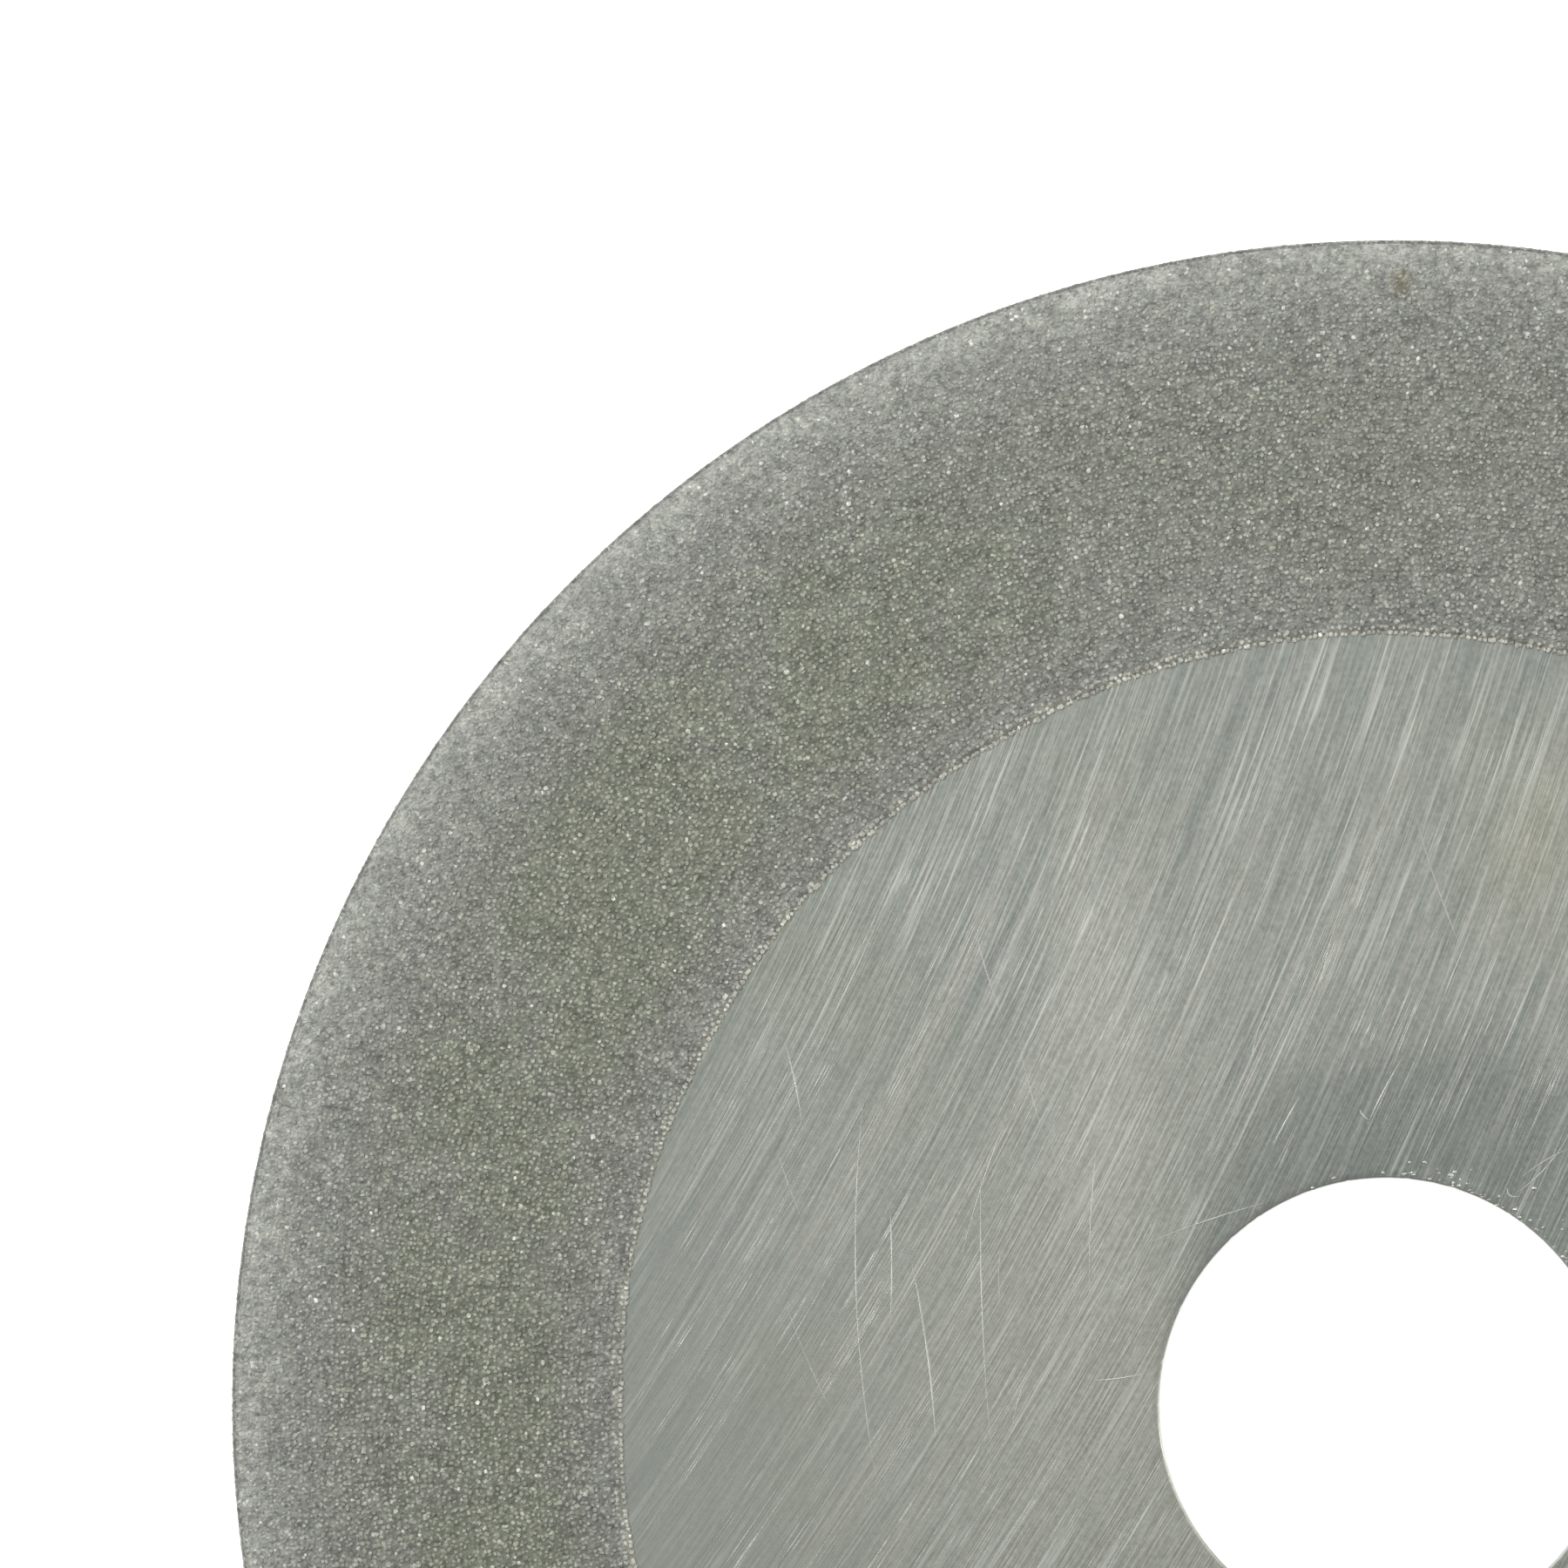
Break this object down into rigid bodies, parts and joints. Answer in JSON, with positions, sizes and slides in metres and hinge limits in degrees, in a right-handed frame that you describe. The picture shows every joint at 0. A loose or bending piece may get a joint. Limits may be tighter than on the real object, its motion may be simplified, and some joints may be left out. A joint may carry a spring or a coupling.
{
  "type": "diamond grinding wheel",
  "caption": "Flat steel grinding disc with a plain arbor bore, a bare ground hub and a wide ring of nickel-bonded diamond grit on one face.",
  "frame": {"origin": "on the bore's axis, in the back face of the plate", "axes": "+Z along the bore's axis and out of the front face that carries the grit; X and Y lie in the back face"},
  "size_m": [0.1142, 0.1142, 0.0018],
  "materials": {
    "ground_steel": "surface-ground low-carbon steel with straight parallel grinding scratches",
    "nickel_plate": "matte electroplated nickel, olive grey, textured by the grit it holds",
    "diamond": "yellow-green synthetic diamond grit, about 0.18 mm, part buried in nickel"
  },
  "bodies": {
    "root": {"steel_core": "ground_steel", "nickel_bond": "nickel_plate", "diamond_grit": "diamond"}
  },
  "joints": []
}
